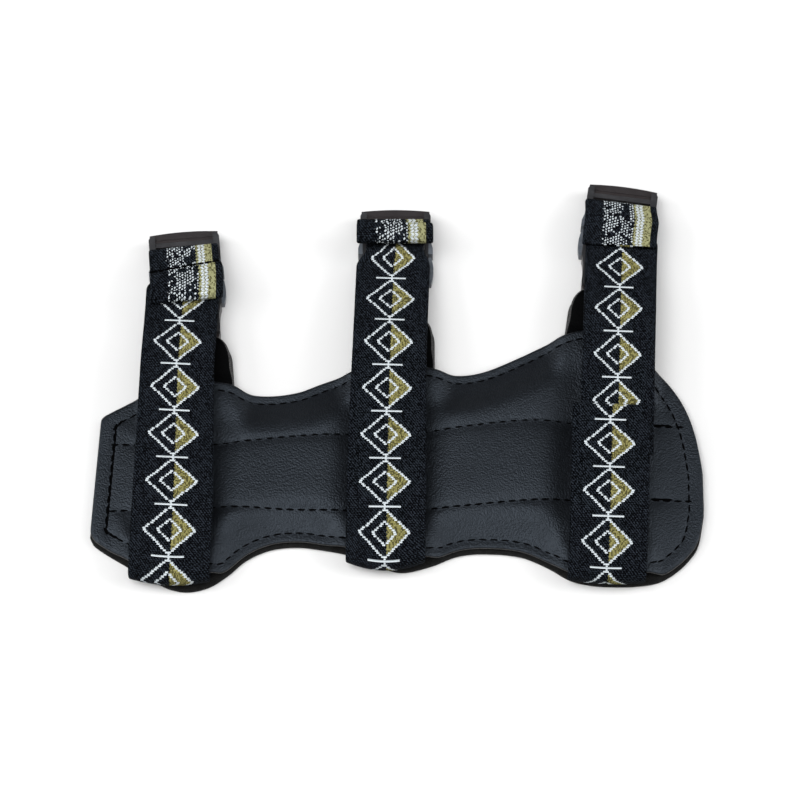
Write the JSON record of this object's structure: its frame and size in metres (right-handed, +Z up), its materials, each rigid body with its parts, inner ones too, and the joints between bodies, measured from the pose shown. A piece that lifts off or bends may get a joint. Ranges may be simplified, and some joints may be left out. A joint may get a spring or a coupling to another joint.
{
  "type": "arm guard",
  "caption": "padded forearm guard with quilted vinyl face, felted backing and elastic straps closed by side-release buckles, lying face up with its straps fastened",
  "frame": {"origin": "under the middle of the whole part, on the surface that the backing lies on", "axes": "+X along the pad towards the elbow end, +Y across it towards the buckles, +Z up out of the face"},
  "size_m": [0.204, 0.1452, 0.0199],
  "materials": {
    "vinyl": "satin black vinyl with a fine pebble grain",
    "felt": "matt felted cloth",
    "elastic": "woven elastic with a two-tone woven design",
    "plastic": "black moulded plastic, half gloss"
  },
  "bodies": {
    "root": {"face_panel": "vinyl", "backing_panel": "felt", "strap_wrist": "elastic", "strap_middle": "elastic", "strap_elbow": "elastic", "tab_wrist": "vinyl", "tab_middle": "vinyl", "tab_elbow": "vinyl", "buckle_plug_wrist": "plastic", "buckle_plug_middle": "plastic", "buckle_plug_elbow": "plastic", "buckle_socket_wrist": "plastic", "buckle_socket_middle": "plastic", "buckle_socket_elbow": "plastic"}
  },
  "joints": []
}
